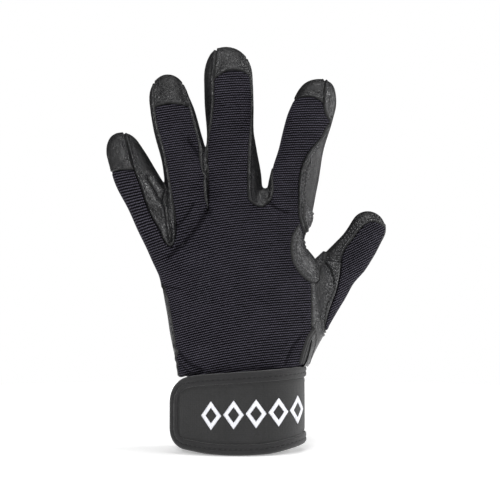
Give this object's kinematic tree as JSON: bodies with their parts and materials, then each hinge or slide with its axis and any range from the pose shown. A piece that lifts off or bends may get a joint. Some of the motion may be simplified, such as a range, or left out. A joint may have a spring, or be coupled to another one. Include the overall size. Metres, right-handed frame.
{
  "type": "fencing glove",
  "caption": "Left-hand sport glove with a ribbed stretch back, leather palm and fingertips, padded thumb crook and a wide wrist strap.",
  "frame": {"origin": "middle of the wrist opening, in the plane of the cuff's rim", "axes": "+Z from the wrist to the fingertips, +X towards the thumb, -Y out of the back of the hand and +Y out of the palm"},
  "size_m": [0.1683, 0.0582, 0.2424],
  "materials": {
    "knit": "ribbed stretch weave, matt black with a faint violet cast",
    "palm_leather": "black grained leather",
    "trim_leather": "black grained leather, sewn with black thread",
    "patch_leather": "black leather over a thin pad, double stitched",
    "strap": "charcoal foam laminate with a matt knitted face",
    "binding": "black woven tape",
    "fastener": "black hook tape"
  },
  "bodies": {
    "root": {"back_panel": "knit", "palm_panel": "palm_leather", "cap_little": "trim_leather", "cap_ring": "trim_leather", "cap_middle": "trim_leather", "cap_index": "trim_leather", "fourchette_little_ring": "trim_leather", "fourchette_ring_middle": "trim_leather", "fourchette_middle_index": "trim_leather", "thumb_back": "knit", "thumb_front": "palm_leather", "crotch_patch": "patch_leather", "index_side_patch": "patch_leather", "slit_binding": "binding", "wrist_strap": "strap", "strap_binding": "binding", "hook_patch": "fastener"}
  },
  "joints": []
}
